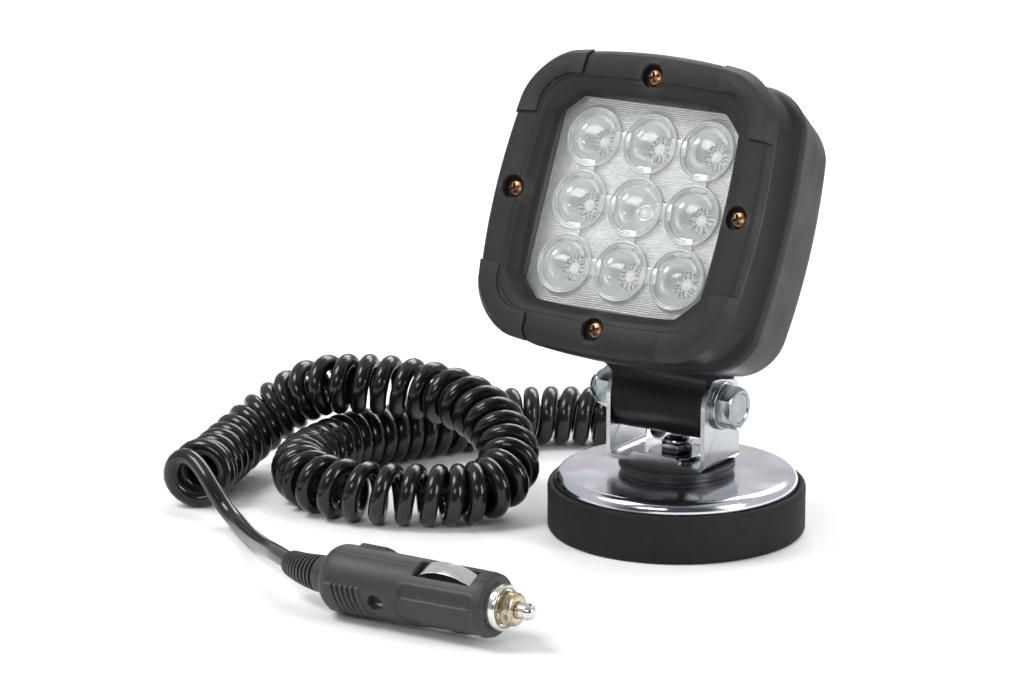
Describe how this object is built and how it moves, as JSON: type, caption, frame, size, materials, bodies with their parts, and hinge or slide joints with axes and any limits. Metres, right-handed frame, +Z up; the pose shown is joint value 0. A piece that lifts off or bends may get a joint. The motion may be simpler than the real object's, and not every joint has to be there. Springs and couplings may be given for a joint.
{
  "type": "magnetic led work light",
  "caption": "Square LED lamp head on a tilting U bracket and round magnet base, with a curly lead ending in a 12 V lighter plug.",
  "frame": {"origin": "centre of the magnet's underside, on the surface that it holds to", "axes": "+Z up, out of the magnet; the tilt bolt lies along X; the lamp faces -Y"},
  "size_m": [0.2144, 0.2331, 0.1604],
  "materials": {
    "boot_rubber": "matte",
    "cup_zinc": "bright zinc plate",
    "ferrite": "dull",
    "plain_steel": "satin",
    "zinc_steel": "blue zinc plate",
    "zinc_sheet": "zinc plate",
    "nylon": "satin",
    "bronze_bush": "plain",
    "housing_black": "satin",
    "bezel_black": "fine grain",
    "bronze_screw": "bronze coated",
    "soft_seal": "matte",
    "clear_lens": "ribbed",
    "clear_optic": "moulded",
    "led_phosphor": "phosphor",
    "white_board": "solder mask",
    "sink_aluminium": "extruded",
    "green_board": "solder mask",
    "dark_parts": "moulded",
    "gland_black": "satin",
    "cord_black": "glossy",
    "relief_black": "satin",
    "plug_black": "satin",
    "plug_nickel": "nickel plate",
    "collar_nickel": "knurled nickel",
    "fuse_glass": "clear"
  },
  "bodies": {
    "base": {"rubber_boot": "boot_rubber", "magnet_cup": "cup_zinc", "ring_magnet": "ferrite", "pole_core": "plain_steel", "base_stud": "zinc_steel", "spacer_disc": "boot_rubber", "base_washer": "zinc_steel", "base_nut": "zinc_steel", "base_nut_insert": "nylon"},
    "bracket": {"bracket": "zinc_sheet", "pivot_bolt": "zinc_steel", "pivot_washers": "zinc_steel", "pivot_nut": "zinc_steel", "pivot_nut_insert": "nylon", "cord_tail": "cord_black", "cord_coil": "cord_black", "cord_lead": "cord_black", "plug_strain_relief": "relief_black", "plug_shell_near": "plug_black", "plug_shell_far": "plug_black", "plug_screw": "plain_steel", "plug_nut": "plain_steel", "plug_cap": "plug_nickel", "plug_tip_collar": "collar_nickel", "tip_spring": "plain_steel"},
    "head": {"pivot_sleeve": "bronze_bush", "housing": "housing_black", "bezel": "bezel_black", "bezel_screws": "bronze_screw", "lens_gasket": "soft_seal", "cover_lens": "clear_lens", "optic_array": "clear_optic", "led_packages": "led_phosphor", "led_board": "white_board", "board_screws": "plain_steel", "heat_sink": "sink_aluminium", "sink_screws": "plain_steel", "driver_board": "green_board", "driver_parts": "dark_parts", "driver_screws": "plain_steel", "breather_vent": "gland_black", "cable_gland": "gland_black", "gland_seal": "soft_seal", "gland_nut": "gland_black", "inner_leads": "cord_black"},
    "plug_tip": {"tip_contact": "plug_nickel", "fuse": "fuse_glass"},
    "plug_leaf_top": {"leaf_contact_top": "plug_nickel"},
    "plug_leaf_bottom": {"leaf_contact_bottom": "plug_nickel"}
  },
  "joints": [
    {"name": "bracket_swivel", "type": "hinge", "parent": "base", "child": "bracket", "pos_m": [0, 0, 0.0234], "axis": [0, 0, 1], "range_deg": [-90, 90]},
    {"name": "head_tilt", "type": "hinge", "parent": "bracket", "child": "head", "pos_m": [0, 0, 0.0441], "axis": [-1, 0, 0], "range_deg": [-45, 60], "deforming": ["cord_tail"]},
    {"name": "tip_press", "type": "slide", "parent": "bracket", "child": "plug_tip", "axis": [-0.9996, 0.0087, -0.0262], "range_m": [0, 0.0025], "stiffness_N_per_m": 800, "springref_m": -0.002, "deforming": ["tip_spring"]},
    {"name": "leaf_press_top", "type": "slide", "parent": "bracket", "child": "plug_leaf_top", "axis": [0.0275, 0.4065, -0.9132], "range_m": [0, 0.0016], "stiffness_N_per_m": 1500, "springref_m": -0.0005},
    {"name": "leaf_press_bottom", "type": "slide", "parent": "bracket", "child": "plug_leaf_bottom", "axis": [-0.0275, -0.4065, 0.9132], "range_m": [0, 0.0016], "stiffness_N_per_m": 1500, "springref_m": -0.0005}
  ]
}
